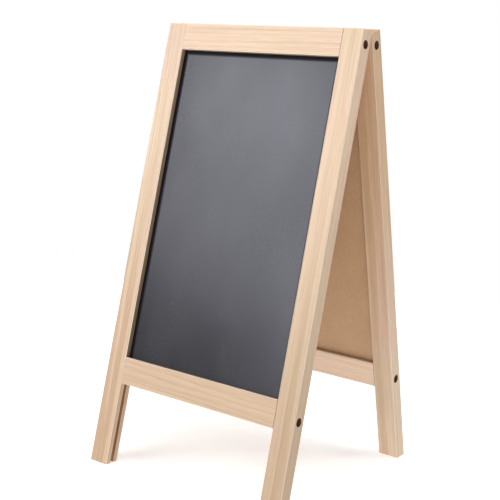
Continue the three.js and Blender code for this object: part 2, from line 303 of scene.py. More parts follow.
class Shader:
    """A material's node tree, written as calls that return sockets. Its position and normal are in the
    piece's own axes, in millimetres, which axes carries to the row's."""

    def __init__(self, name, axes):
        self.material = bpy.data.materials.new(name)
        self.material.use_nodes = True
        self.tree = self.material.node_tree
        self.tree.nodes.clear()
        self.surface = self.node("ShaderNodeBsdfPrincipled")
        output = self.node("ShaderNodeOutputMaterial")
        self.tree.links.new(self.surface.outputs["BSDF"], output.inputs["Surface"])
        self.coordinates = self.node("ShaderNodeTexCoord")
        self.position = self.position_in(axes)
        self.normal = self.in_axes("Normal", (0, 0, 0), axes.decompose()[1], (1, 1, 1))

    def position_in(self, axes):
        return self.in_axes("Object", *axes.decompose())

    def in_axes(self, output, place, turn, scale):
        made = self.node("ShaderNodeMapping", vector_type="TEXTURE")
        self.put(made.inputs["Vector"], self.coordinates.outputs[output])
        made.inputs["Location"].default_value = place
        made.inputs["Rotation"].default_value = turn.to_euler("XYZ")
        made.inputs["Scale"].default_value = scale
        return made.outputs["Vector"]

    def node(self, kind, **settings):
        made = self.tree.nodes.new(kind)
        for key, value in settings.items():
            setattr(made, key, value)
        return made

    def put(self, socket, value):
        if isinstance(value, bpy.types.NodeSocket):
            self.tree.links.new(value, socket)
        else:
            socket.default_value = value

    def math(self, operation, *values, clamp=False):
        made = self.node("ShaderNodeMath", operation=operation, use_clamp=clamp)
        for socket, value in zip(made.inputs, values):
            self.put(socket, value)
        return made.outputs[0]

    def vector(self, operation, *values):
        made = self.node("ShaderNodeVectorMath", operation=operation)
        for socket, value in zip(made.inputs, values):
            self.put(socket, value)
        return made.outputs["Value" if operation == "LENGTH" else "Vector"]

    def split(self, vector):
        made = self.node("ShaderNodeSeparateXYZ")
        self.put(made.inputs[0], vector)
        return made.outputs

    def join(self, x, y, z):
        made = self.node("ShaderNodeCombineXYZ")
        for socket, value in zip(made.inputs, (x, y, z)):
            self.put(socket, value)
        return made.outputs[0]

    def noise(self, position, scale, detail, roughness=0.5, output="Factor"):
        """Noise with its own scale along each axis, in lumps per millimetre."""
        made = self.node("ShaderNodeTexNoise", noise_dimensions="3D")
        self.put(made.inputs["Vector"], self.vector("MULTIPLY", position, scale))
        self.put(made.inputs["Scale"], 1.0)
        self.put(made.inputs["Detail"], detail)
        self.put(made.inputs["Roughness"], roughness)
        return made.outputs["Fac" if output == "Factor" else "Color"]

    def remap(self, value, low, high, to_low=0.0, to_high=1.0, smooth=True):
        made = self.node("ShaderNodeMapRange", interpolation_type="SMOOTHSTEP" if smooth else "LINEAR")
        for socket, number in zip(made.inputs, (value, low, high, to_low, to_high)):
            self.put(socket, number)
        return made.outputs["Result"]

    def mix(self, factor, first, second, blend="MIX"):
        made = self.node("ShaderNodeMix", data_type="RGBA", blend_type=blend, clamp_factor=True)
        self.put(made.inputs["Factor"], factor)
        colours = [s for s in made.inputs if s.type == "RGBA"]
        for socket, value in zip(colours, (first, second)):
            self.put(socket, opaque(value))
        return [s for s in made.outputs if s.type == "RGBA"][0]

    def tint(self, factor, colour, by):
        """The colour, multiplied by another one as far as factor says."""
        return self.mix(factor, colour, self.mix(1.0, colour, by, "MULTIPLY"))

    def bump(self, height, distance, strength, normal=None):
        """The normal over relief that is distance millimetres deep, on top of another relief's."""
        made = self.node("ShaderNodeBump")
        self.put(made.inputs["Height"], height)
        self.put(made.inputs["Distance"], distance * MM)
        self.put(made.inputs["Strength"], strength)
        if normal is not None:
            self.put(made.inputs["Normal"], normal)
        return made.outputs["Normal"]

    def finish(self, colour, roughness, normal=None, **settings):
        """Sets the surface, and any other setting under its own name in lower case."""
        self.put(self.surface.inputs["Base Color"], opaque(colour))
        self.put(self.surface.inputs["Roughness"], roughness)
        if normal is not None:
            self.put(self.surface.inputs["Normal"], normal)
        for name, value in settings.items():
            label = name.replace("_", " ").title().replace("Ior", "IOR")
            self.put(self.surface.inputs[label], value)
        return self.material


# ---- Wood ----

PLAIN = (1.0, 1.0, 1.0)
NO_BAND = (0.0, 1.0, 0.0, 0.0)
BAND_TINT = (0.80, 0.72, 0.63)
TINT_REACH = 170.0
EARLYWOOD = (0.86, 0.675, 0.515)
LATEWOOD = (0.62, 0.42, 0.265)
PINK_TINT = (1.0, 0.965, 0.955)
STRAW_TINT = (0.985, 0.985, 0.93)
FIBRE_DARK = (0.80, 0.72, 0.64)
# Painted shade on the walls of the screw bores and the panel groove: their dark and pale tones.
BORE_SHADE_TONES = ((0.085, 0.038, 0.015), (0.21, 0.105, 0.048))
GROOVE_SHADE_TONES = ((0.36, 0.19, 0.08), (0.60, 0.36, 0.18))
FLECK_DARK = (0.84, 0.82, 0.80)
RESIN = (0.55, 0.38, 0.25)
END_TINT = (0.95, 0.90, 0.87)
# Painted highlight on the rounded arrises: its colour, and how much of them it covers elsewhere and round
# the panel's opening.
ARRIS_HIGHLIGHT = (0.97, 0.85, 0.73)
ARRIS_HIGHLIGHT_COVER = 0.42
OPENING_ARRIS_HIGHLIGHT_COVER = 0.95
# Painted shade on the walls of the panel's opening, darkest beside the panel.
WALL_SHADE = (0.34, 0.27, 0.20)
WALL_SHADE_REACH = 4.6
PAINTED_SIDE_SHADE = (0.65, 1.0)  # at the wall's outer edge, and beside the panel
INNER_SIDE_SHADE = (0.8, 0.1)  # beside the panel, and at the wall's inner edge


def opening_walls(s, frame_axes):
    """1 on the walls of the panel's opening and their arrises, and how much painted shade darkens the
    walls, most beside the panel and more on the painted side than on the inner one."""
    x, y, z = s.split(s.position_in(frame_axes))
    middle = (BOTTOM_RAIL_TOP + TOP_RAIL_BASE) / 2
    beside = s.math("LESS_THAN", s.math("ABSOLUTE", x), OPENING / 2 + ARRIS)
    from_middle = s.math("ABSOLUTE", s.math("SUBTRACT", z, middle))
    level = s.math("LESS_THAN", from_middle, TOP_RAIL_BASE - middle + ARRIS)
    painted, bare = GROOVE_CENTRE - PANEL_THICKNESS / 2, GROOVE_CENTRE + PANEL_THICKNESS / 2
    outer = s.remap(y, painted - WALL_SHADE_REACH, painted, *PAINTED_SIDE_SHADE)
    inner = s.remap(y, bare, bare + WALL_SHADE_REACH, *INNER_SIDE_SHADE)
    return s.math("MULTIPLY", beside, level), s.math("MINIMUM", outer, inner)


def growth_rings(s, seeded, pith, tilt, spacing, seed):
    """How far a point lies into the latewood, from 0 to 1: pale earlywood darkens slowly, then ends
    sharply, in years of uneven width and vigour."""
    x, y, z = s.split(s.position)
    half = (0.5,) * 3
    slow = s.vector("SUBTRACT", s.noise(seeded, (0.05, 0.05, 0.0045), 2, output="Color"), half)
    small = s.vector("SUBTRACT", s.noise(seeded, (0.16, 0.16, 0.02), 1, output="Color"), half)
    bends = s.vector("MULTIPLY", slow, (8.0, 8.0, 0.0))
    waves = s.vector("MULTIPLY", small, (1.3, 1.3, 0.0))
    drift = s.join(s.math("MULTIPLY", z, tilt[0]), s.math("MULTIPLY", z, tilt[1]), 0.0)
    across = s.vector("SUBTRACT", s.join(x, y, 0.0), (*pith, 0.0))
    from_heart = s.vector("ADD", s.vector("ADD", across, drift), s.vector("ADD", bends, waves))

    years = s.math("DIVIDE", s.vector("LENGTH", from_heart), spacing)
    uneven = s.node("ShaderNodeTexNoise", noise_dimensions="1D")
    s.put(uneven.inputs["W"], s.math("ADD", s.math("MULTIPLY", years, 0.55), seed * 7.3))
    s.put(uneven.inputs["Scale"], 1.0)
    s.put(uneven.inputs["Detail"], 1.0)
    years = s.math("ADD", years, s.math("MULTIPLY", uneven.outputs["Fac"], 1.4))
    part = s.math("FRACT", years)
    late = s.math("MULTIPLY", s.remap(part, 0.25, 0.88), s.remap(part, 0.90, 0.995, 1.0, 0.0))
    vigour = s.node("ShaderNodeTexWhiteNoise", noise_dimensions="1D")
    s.put(vigour.inputs["W"], s.math("ADD", s.math("FLOOR", years), seed * 3.1))
    return s.math("MULTIPLY", late, s.remap(vigour.outputs["Value"], 0.0, 1.0, 0.25, 1.0, smooth=False))


def broad_band(s, seeded, threads, band):
    """How much of a board's broad darker streak there is at a point."""
    middle, half_width, strength, fade = band
    edge, fade_reach = 0.7, 80.0
    x, y, z = s.split(s.position)
    sway = s.math("MULTIPLY", s.math("SUBTRACT", s.noise(seeded, (0.02, 0.02, 0.008), 2), 0.5), 7.0)
    away = s.math("ABSOLUTE", s.math("SUBTRACT", s.math("ADD", x, sway), middle))
    inside = s.remap(away, half_width + edge, half_width - edge, 0.0, strength)
    inside = s.math("MULTIPLY", inside, s.remap(z, fade + fade_reach, fade - fade_reach, 0.25, 1.0))
    return s.math("MULTIPLY", inside, s.remap(threads, 0.3, 0.7, 0.7, 1.0))


def pine(name, axes, frame_axes, pith, tilt, spacing, strength, seed, ends=(PLAIN, PLAIN), band=NO_BAND):
    """Bare sanded pine. The piece's own z runs along the grain, and pith is where the tree's heart
    lies from the middle of the piece, in millimetres, with its drift in x and y per millimetre of
    length. ends tints the wood towards its low and its high end with painted light and shade. band is
    a broad darker streak: its middle along x, its half width, its strength, and the z that it fades
    out towards, going up."""
    s = Shader(name, axes)
    seeded = s.vector("ADD", s.position, (seed * 37.0, seed * 53.0, seed * 411.0))
    z = s.split(s.position)[2]
    late = growth_rings(s, seeded, pith, tilt, spacing, seed)

    # Streaks of darker, resin-rich wood a few millimetres wide, running a long way, and finer ones.
    streak = s.remap(s.noise(seeded, (0.19, 0.19, 0.0035), 2, 0.55), 0.52, 0.74)
    threads = s.noise(seeded, (0.75, 0.75, 0.010), 3, 0.6)
    flecks = s.noise(seeded, (0.9, 0.9, 0.07), 3, 0.6)
    fibre = s.noise(seeded, (2.4, 2.4, 0.035), 4, 0.6)
    hair = s.noise(seeded, (7.0, 7.0, 0.10), 2, 0.5)
    canals = s.remap(s.noise(seeded, (4.2, 4.2, 0.20), 1, 0.4), 0.70, 0.80)
    blotch = s.noise(seeded, (0.035, 0.035, 0.009), 2, 0.5)

    figure = s.math("MULTIPLY", late, 0.55 * strength)
    figure = s.math("ADD", figure, s.math("MULTIPLY", streak, 0.42 * strength))
    colour = s.mix(s.math("MINIMUM", figure, 1.0), EARLYWOOD, LATEWOOD)
    colour = s.tint(1.0, colour, s.mix(s.remap(blotch, 0.35, 0.65), PINK_TINT, STRAW_TINT))
    # Painted light and shade: each end of the piece is tinted as the light falls there.
    colour = s.tint(1.0, colour, s.mix(s.remap(z, -TINT_REACH, TINT_REACH), *ends))
    colour = s.tint(broad_band(s, seeded, threads, band), colour, BAND_TINT)
    colour = s.tint(s.remap(threads, 0.60, 0.34, 0.0, 0.30), colour, FIBRE_DARK)
    colour = s.tint(s.remap(flecks, 0.62, 0.36, 0.0, 0.22), colour, FLECK_DARK)
    colour = s.tint(s.remap(fibre, 0.62, 0.30, 0.0, 0.42), colour, FIBRE_DARK)
    colour = s.tint(s.remap(hair, 0.66, 0.38, 0.0, 0.20), colour, FIBRE_DARK)
    colour = s.mix(s.math("MULTIPLY", canals, 0.35), colour, RESIN)

    # End grain drinks in the light, and the rounded arrises get a painted highlight,
    # strongest round the panel's opening.
    nx, ny, nz = s.split(s.normal)
    end_grain = s.remap(s.math("ABSOLUTE", nz), 0.75, 0.95)
    colour = s.tint(s.math("MULTIPLY", end_grain, 0.8), colour, END_TINT)
    flatness = s.math("MAXIMUM", s.math("ABSOLUTE", nx), s.math("ABSOLUTE", ny))
    arris = s.math("MULTIPLY", s.remap(flatness, 0.995, 0.86), s.math("SUBTRACT", 1.0, end_grain))
    # Painted shade: the opening's walls are darkened towards the panel, except on their arrises.
    beside_panel, painted_shade = opening_walls(s, frame_axes)
    shade = s.math("MULTIPLY", s.math("MULTIPLY", beside_panel, painted_shade), s.math("SUBTRACT", 1.0, arris))
    colour = s.tint(shade, colour, WALL_SHADE)
    cover = s.remap(beside_panel, 0.0, 1.0, ARRIS_HIGHLIGHT_COVER, OPENING_ARRIS_HIGHLIGHT_COVER)
    colour = s.mix(s.math("MULTIPLY", arris, cover), colour, ARRIS_HIGHLIGHT)

    sanding = s.noise(seeded, (3.0, 3.0, 0.6), 3, 0.6)
    relief = s.math("ADD", s.math("MULTIPLY", fibre, 0.6), s.math("MULTIPLY", late, 0.5))
    relief = s.math("ADD", relief, s.math("MULTIPLY", hair, 0.25))
    relief = s.math("SUBTRACT", relief, s.math("MULTIPLY", canals, 0.6))
    normal = s.bump(relief, 0.05, 0.55, s.bump(sanding, 0.03, 0.4))
    roughness = s.math("ADD", s.remap(fibre, 0.3, 0.7, 0.50, 0.64), s.math("MULTIPLY", late, -0.07))
    return s.finish(colour, s.math("ADD", roughness, s.math("MULTIPLY", end_grain, 0.15)), normal)


def shaded_cut_wood(name, axes, tones):
    """The walls of a bore or a groove, in the frame's axes: fuzzy, and dark brown with painted shade,
    darkest in the bores and in patches.
    """
    s = Shader(name, axes)
    dark, pale = tones
    fuzz = s.noise(s.position, (1.6, 1.6, 1.6), 4, 0.65)
    patchy_shade = s.noise(s.position, (0.5, 0.5, 0.05), 2, 0.5)
    colour = s.mix(s.remap(fuzz, 0.3, 0.7), dark, pale)
    colour = s.mix(s.remap(patchy_shade, 0.4, 0.7, 0.0, 0.5), colour, dark)
    return s.finish(colour, s.remap(fuzz, 0.3, 0.7, 0.8, 0.95), s.bump(fuzz, 0.08, 0.8))


def mark_cut_walls(bm):
    """Gives the bores' walls, inside their eased mouths, the second material, and the groove's walls
    the third."""
    mouths_end = WIDTH / 2 - BORE_EASING + TOUCH
    for face in bm.faces:
        centre = face.calc_center_median()
        depth = abs(centre.x) - OPENING / 2
        in_groove = abs(centre.y - GROOVE_CENTRE) < GROOVE_WIDTH / 2 + TOUCH
        in_groove = in_groove and MOUTH_EASING < depth < GROOVE_DEPTH + TOUCH
        in_bore = any(
            math.hypot(centre.y + THICKNESS / 2, centre.z - rise) < COUNTERBORE_RADIUS + TOUCH
            for rise in SCREW_RISES.values()
        )
        if in_bore and abs(centre.x) < mouths_end:
            face.material_index = 1
        elif in_groove:
            face.material_index = 2


def screw_bore():
    """The drill for a counterbored screw, with an eased mouth. z = 0 is the wood's face, and +z goes in."""
    lip, wide, narrow = BORE_EASING, COUNTERBORE_RADIUS, CLEARANCE_BORE_RADIUS
    turns = (0, 0.5, 1.0, math.pi / 2)
    mouth = [(wide + lip * (1 - math.sin(a)), lip * (1 - math.cos(a))) for a in turns]
    seat = [(wide, COUNTERBORE_DEPTH), (narrow, COUNTERBORE_DEPTH)]
    through = [(narrow, STILE_WIDTH + OVERCUT), (0, STILE_WIDTH + OVERCUT)]
    return lathe([(0, -OVERCUT), (wide + lip, -OVERCUT)] + mouth + seat + through)


def is_long_edge(edge, axis):
    """True on an edge that runs along the axis."""
    direction = (edge.verts[1].co - edge.verts[0].co).normalized()
    return abs(direction[axis]) > 0.999


def crosses_end(edge, axis):
    """True on an edge between a sawn end and a side, or between the two planes of a bevelled end."""
    return any(abs(f.normal[axis]) > 0.3 for f in edge.link_faces) and edge.calc_face_angle(0) > 0.35


def groove_section(edge, inward):
    """The panel groove's section as (depth, y) points, with eased lips, from a board's edge inwards."""
    low, high = GROOVE_CENTRE - GROOVE_WIDTH / 2, GROOVE_CENTRE + GROOVE_WIDTH / 2
    lips = [(-OVERCUT, MOUTH_EASING), (0, MOUTH_EASING), (MOUTH_EASING, 0), (GROOVE_DEPTH, 0)]
    near = [(edge + inward * depth, low - spread) for depth, spread in lips]
    far = [(edge + inward * depth, high + spread) for depth, spread in reversed(lips)]
    return near + far


def stile(side):
    """A stile in the frame's axes. side is -1 or 1, the end of x that it is on."""
    outer, inner = side * WIDTH / 2, side * (WIDTH / 2 - STILE_WIDTH)
    outline = rounded_rectangle(min(outer, inner), max(outer, inner), -THICKNESS, 0, ARRIS)
    bm = prism(outline, -2 * FOOT_DROP, STILE_LENGTH)
    groove = prism(groove_section(inner, side), -3 * FOOT_DROP, STILE_LENGTH + OVERCUT)
    bm = combine(bm, [groove], "DIFFERENCE")
    cut_off(bm, (0, -THICKNESS, 0), (0, math.sin(LEAN), -math.cos(LEAN)))
    cut_off(bm, (0, 0, CONTACT_RISE), (0, 1, 1))
    ease_edges(bm, lambda e: not is_long_edge(e, 2) and crosses_end(e, 2), END_EASING)
    drills = []
    for rise in SCREW_RISES.values():
        drills.append(placed(screw_bore(), along((outer, -THICKNESS / 2, rise), (-side, 0, 0))))
    bm = combine(bm, drills, "DIFFERENCE")
    mark_cut_walls(bm)
    return bm


def rail(base, panel_side, screw_rise):
    """A rail in the frame's axes. panel_side is 1 where the panel enters from above, -1 from below."""
    half = OPENING / 2 - FIT_GAP / 2
    reach = half + TENON_LENGTH
    top = base + RAIL_HEIGHT
    bm = prism(rounded_rectangle(-THICKNESS, 0, base, top, ARRIS), -half, half, "x")
    if panel_side < 0:
        cut_off(bm, (0, 0, CONTACT_RISE), (0, 1, 1))
    haunch = GROOVE_DEPTH + FIT_GAP
    tenon_low = base if panel_side > 0 else base + haunch
    tenon_high = top - haunch if panel_side > 0 else top
    thin = GROOVE_WIDTH / 2 - CLOSE_GAP
    section = rectangle(GROOVE_CENTRE - thin, GROOVE_CENTRE + thin, tenon_low, tenon_high)
    bm = combine(bm, [prism(section, -reach, reach, "x")], "UNION")
    edge = top if panel_side > 0 else base
    groove = [(y, z) for z, y in groove_section(edge, -panel_side)]
    cutters = [prism(groove, -WIDTH, WIDTH, "x")]
    for side in (-1, 1):
        mouth = along((side * reach, -THICKNESS / 2, screw_rise), (-side, 0, 0))
        cutters.append(placed(drill(PILOT_RADIUS, PILOT_DEPTH), mouth))
    if panel_side < 0:
        for x in hinge_screw_xs():
            mouth = along((x, 0, PIN_RISE - HINGE_SCREW_DROP), (0, -1, 0))
            cutters.append(placed(drill(HINGE_PILOT_RADIUS, HINGE_PILOT_DEPTH, 24), mouth))
    return combine(bm, cutters, "DIFFERENCE")


def hinge_screw_xs():
    """Where the hinges' screws are along the top rail."""
    return [side * HINGE_OFFSET + end * HINGE_SCREW_SPREAD for side in (-1, 1) for end in (-1, 1)]


# ---- Panels ----

PAINT = (0.0120, 0.0120, 0.0145)
PAINT_WORN = (0.026, 0.026, 0.029)
PAINT_SHEEN = (0.88, 0.88, 1.0, 1.0)
PAINT_IOR = 1.54
# Matt paint as a painted line of shade beside the stiles and under the top rail.
MATT_SHADE_EDGE = (1.8, 4.8)  # how far from the opening's edge the matt paint is full, and where it ends
PANEL_EASING = 0.25
FIBREBOARD = (0.56, 0.36, 0.205)
FIBREBOARD_DARK = (0.42, 0.245, 0.125)
FIBREBOARD_PALE = (0.66, 0.46, 0.29)


def chalkboard_paint(name, axes):
    """Rolled satin paint with a little chalk dust left on it."""
    s = Shader(name, axes)
    cloud = s.noise(s.position, (0.018, 0.018, 0.012), 3, 0.5)
    roller = s.noise(s.position, (0.55, 0.55, 0.55), 3, 0.55)
    tooth = s.noise(s.position, (4.0, 4.0, 4.0), 3, 0.7)
    dust = s.remap(s.noise(s.position, (0.035, 0.1, 0.022), 1, 0.4), 0.35, 0.75, 0.0, 0.5)
    uneven = s.remap(roller, 0.3, 0.7, -0.012, 0.012)
    normal = s.bump(roller, 0.012, 0.35, s.bump(tooth, 0.005, 0.4))

    # Beside the stiles and under the top rail the paint is made clean and matt, a painted line of shade
    # along those edges.
    x, y, z = s.split(s.position)
    from_stile = s.math("SUBTRACT", OPENING / 2, s.math("ABSOLUTE", x))
    from_rail = s.math("SUBTRACT", TOP_RAIL_BASE, z)
    matt_shade = s.remap(s.math("MINIMUM", from_stile, from_rail), *MATT_SHADE_EDGE, 1.0, 0.0)
    colour = s.mix(s.math("MULTIPLY", dust, s.math("SUBTRACT", 1.0, matt_shade)), PAINT, PAINT_WORN)
    roughness = s.math("ADD", s.remap(cloud, 0.3, 0.7, 0.235, 0.27), uneven)
    roughness = s.math("ADD", roughness, s.math("MULTIPLY", matt_shade, 0.35))
    gloss = s.remap(matt_shade, 0.0, 1.0, 0.5, 0.02, smooth=False)
    sheen = {"ior": PAINT_IOR, "specular_tint": PAINT_SHEEN, "specular_ior_level": gloss}
    return s.finish(colour, roughness, normal, **sheen)


def fibreboard(name, axes):
    """Bare brown board of pressed wood fibres."""
    s = Shader(name, axes)
    cloud = s.noise(s.position, (0.05, 0.05, 0.05), 3, 0.5)
    fibres = s.noise(s.position, (1.1, 3.0, 0.8), 4, 0.65)
    flecks = s.remap(s.noise(s.position, (0.9, 3.0, 2.2), 2, 0.5), 0.66, 0.78)
    colour = s.mix(s.remap(fibres, 0.35, 0.70), FIBREBOARD_DARK, FIBREBOARD_PALE)
    colour = s.mix(0.62, colour, FIBREBOARD)
    colour = s.mix(s.math("MULTIPLY", flecks, 0.35), colour, FIBREBOARD_DARK)
    colour = s.mix(s.remap(cloud, 0.3, 0.7, 0.0, 0.16), colour, FIBREBOARD_DARK)
    normal = s.bump(fibres, 0.05, 0.6)
    return s.finish(colour, s.remap(fibres, 0.3, 0.7, 0.62, 0.74), normal)


def panel():
    """The panel in the frame's axes: its first material is on the painted outer side, and its second,
    the bare board, on the rest."""
    reach = OPENING / 2 + GROOVE_DEPTH - FIT_GAP
    low, high = BOTTOM_RAIL_TOP - GROOVE_DEPTH + FIT_GAP, TOP_RAIL_BASE + GROOVE_DEPTH - FIT_GAP
    half = PANEL_THICKNESS / 2
    bm = prism(rectangle(-reach, reach, GROOVE_CENTRE - half, GROOVE_CENTRE + half), low, high)
    ease_edges(bm, lambda e: True, PANEL_EASING, 2)
    for face in bm.faces:
        face.material_index = 0 if face.normal.y < -0.4 else 1
    return bm


# ---- Metal ----

SCREW_STEEL = (0.10, 0.088, 0.075)
SCREW_TARNISH = (0.035, 0.028, 0.022)
BRASS = (0.66, 0.52, 0.29)
BRASS_TARNISH = (0.33, 0.23, 0.12)


def metal(name, clean, tarnish, grain, roughness):
    """Plated steel with fine drawing marks and patchy tarnish."""
    s = Shader(name, Matrix.Scale(MM, 4))
    patches = s.noise(s.position, (0.45, 0.45, 0.45), 4, 0.6)
    marks = s.noise(s.position, grain, 3, 0.6)
    pits = s.remap(s.noise(s.position, (3.2, 3.2, 3.2), 2, 0.5), 0.68, 0.80)
    cover = s.remap(patches, 0.42, 0.75, 0.05, 0.75)
    cover = s.math("ADD", cover, s.math("MULTIPLY", pits, 0.5), clamp=True)
    colour = s.mix(cover, clean, tarnish)
    drawn = s.remap(marks, 0.3, 0.7, roughness - 0.06, roughness + 0.1)
    normal = s.bump(marks, 0.02, 0.4, s.bump(pits, 0.03, -0.5))
    return s.finish(colour, s.math("ADD", drawn, s.math("MULTIPLY", cover, 0.14)), normal, metallic=1.0)


def cross_recess(width, depth):
    """The tapered cross of a driver recess, opening at z = 0 and going down to +z."""
    length, thickness = width / 2, width / 9
    mouth = (length, thickness, -0.2)
    bottom = (length * 0.35, thickness * 0.7, depth)
    arms = []
    for turn in (0, math.pi / 2):
        arm = bmesh.new()
        bmesh.ops.create_cube(arm, size=1.0)
        for v in arm.verts:
            reach, half, z = bottom if v.co.z > 0 else mouth
            v.co = (math.copysign(reach, v.co.x), math.copysign(half, v.co.y), z)
        arms.append(placed(arm, Matrix.Rotation(turn, 4, "Z")))
    return arms


THREAD_CORE = 0.72  # of the shank's radius
THREAD_SHARPNESS = 4.2  # how steeply the crest rises, against its pitch
RINGS_PER_TURN = 4
SCREW_STEPS = 20

# The radii of the head and the shank, the head's height, the whole length, the length of the tapered
# tip, the depth at which the thread begins, and its pitch.
FRAME_SCREW = {
    "head": 3.3,
    "shank": 1.75,
    "height": 2.2,
    "length": 35.0,
    "tip": 4.0,
    "plain": 9.0,
    "pitch": 1.5,
}
HINGE_SCREW = {
    "head": 2.0,
    "shank": 1.05,
    "length": 9.0,
    "tip": 2.0,
    "plain": 2.0,
    "pitch": 0.9,
}


def threaded(screw, head, recess):
    """A wood screw along its own z, head first. head is (radius, z) points down to the shank's top."""
    radius, length, plain, pitch = screw["shank"], screw["length"], screw["plain"], screw["pitch"]
    core = radius * THREAD_CORE
    profile = head + [(radius, plain), (core, plain + pitch * 0.5)]
    start = plain + pitch * 0.75
    bm = bmesh.new()
    rings = [ring(bm, r, z, SCREW_STEPS) for r, z in profile]
    for i in range(int((length - start) / pitch * RINGS_PER_TURN)):
        z = start + i * pitch / RINGS_PER_TURN
        taper = min(1.0, max(0.12, (length - z) / screw["tip"]))
        fade = min(1.0, i / RINGS_PER_TURN)
        thread = []
        for a in ring_angles(SCREW_STEPS):
            phase = (z / pitch - a / (2 * math.pi)) % 1.0
            crest = max(0.0, 1 - abs(phase - 0.5) * THREAD_SHARPNESS)
            r = (core + (radius - core) * crest * fade) * taper
            thread.append(bm.verts.new((r * math.cos(a), r * math.sin(a), z)))
        rings.append(thread)
    rings.append(ring(bm, 0, length, SCREW_STEPS))
    skin(bm, rings, SCREW_STEPS)
    return combine(bm, recess, "DIFFERENCE")


def frame_screw():
    """A pan-head wood screw, along its own z from the top of its head."""
    radius, height = FRAME_SCREW["head"], FRAME_SCREW["height"]
    crown = dome(radius, height * 0.55, (0.5, 0.9, 1.25, math.pi / 2))
    head = [(0, 0)] + crown + [(radius, height), (FRAME_SCREW["shank"], height)]
    return threaded(FRAME_SCREW, head, cross_recess(3.4, 1.5))


def hinge_screw():
    """A countersunk wood screw, along its own z from the face of its head."""
    radius, shank = HINGE_SCREW["head"], HINGE_SCREW["shank"]
    head = [(0, 0), (radius - 0.05, 0), (radius, 0.06), (shank, radius - shank)]
    return threaded(HINGE_SCREW, head, cross_recess(2.2, 0.8))


SWAP_Y_Z = Matrix(((1, 0, 0, 0), (0, 0, 1, 0), (0, 1, 0, 0), (0, 0, 0, 1)))
LEAF_CORNER = 1.6
CURL_TAB = 1.2  # how far the curl's foot overlaps the plate
LEAF_EASING = 0.12
KNUCKLE_EASING = 0.1


def knuckle_spans(facing):
    """The front leaf has a knuckle at each end of the pin, and the rear leaf the one between them."""
    third, half, gap = HINGE_LENGTH / 3, HINGE_LENGTH / 2, FIT_GAP / 2
    if facing > 0:
        return [(-half, -third / 2 - gap), (third / 2 + gap, half)]
    return [(-third / 2 + gap, third / 2 - gap)]


def hinge_leaf(facing, centre):
    """A leaf in the frame's axes: a plate with round corners, curled round the pin at one edge."""
    inner, outer = CLOSE_GAP, CLOSE_GAP + LEAF_THICKNESS
    low, high = PIN_RISE - LEAF_HEIGHT, PIN_RISE - BARREL_RADIUS - CLOSE_GAP
    half, corner, pin_y = HINGE_LENGTH / 2, LEAF_CORNER, FOLDED_SPACE / 2
    outline = [(-half, high)] + arc((-half + corner, low + corner), corner, 180, 270, 6)
    outline += arc((half - corner, low + corner), corner, 270, 360, 6) + [(half, high)]
    plate = placed(prism([(x + centre, z) for x, z in outline], inner, outer), SWAP_Y_Z)
    ease_edges(plate, lambda e: e.calc_face_angle(0) > 0.8, LEAF_EASING, 2)
    curl = [(inner, high - CURL_TAB), (inner, PIN_RISE)]
    curl += arc((pin_y, PIN_RISE), BARREL_RADIUS, 180, -90, 30)[1:]
    curl += [(outer, PIN_RISE - BARREL_RADIUS), (outer, high - CURL_TAB)]
    knuckles = []
    for start, end in knuckle_spans(facing):
        knuckle = prism(curl, centre + start, centre + end, "x")
        ease_edges(
            knuckle,
            lambda e: not is_long_edge(e, 0) and e.calc_face_angle(0) > 1.2,
            KNUCKLE_EASING,
            2,
        )
        knuckles.append(knuckle)
    leaf = combine(plate, knuckles, "UNION")
    cone, shank = HINGE_SCREW["head"] + CLOSE_GAP, HINGE_SCREW["shank"] + CLOSE_GAP
    through = LEAF_THICKNESS + 2 * OVERCUT
    sink = [(0, -OVERCUT), (cone, -OVERCUT), (cone, 0)]
    sink += [(shank, cone - shank), (shank, through), (0, through)]
    hole, length = PIN_RADIUS + CLOSE_GAP, 2 * HINGE_LENGTH
    pin_hole = lathe([(0, 0), (hole, 0), (hole, length), (0, length)], 32)
    cutters = [placed(pin_hole, along((centre - HINGE_LENGTH, pin_y, PIN_RISE), (1, 0, 0)))]
    for end in (-1, 1):
        mouth = (centre + end * HINGE_SCREW_SPREAD, outer, PIN_RISE - HINGE_SCREW_DROP)
        cutters.append(placed(lathe(sink, 32), along(mouth, (0, -1, 0))))
    return combine(leaf, cutters, "DIFFERENCE")


def hinge_pin():
    """A pin with a domed head at each end, along its own z from the first head's crown."""
    reach, head, height = HINGE_LENGTH / 2 + CLOSE_GAP, PIN_HEAD_RADIUS, PIN_HEAD_HEIGHT
    crown = dome(head, height * 0.7, (0.5, 1.0, math.pi / 2))
    first = [(0, 0)] + crown + [(head, height), (PIN_RADIUS, height)]
    total = 2 * (reach + height)
    return lathe(first + [(r, total - z) for r, z in reversed(first)], 32)
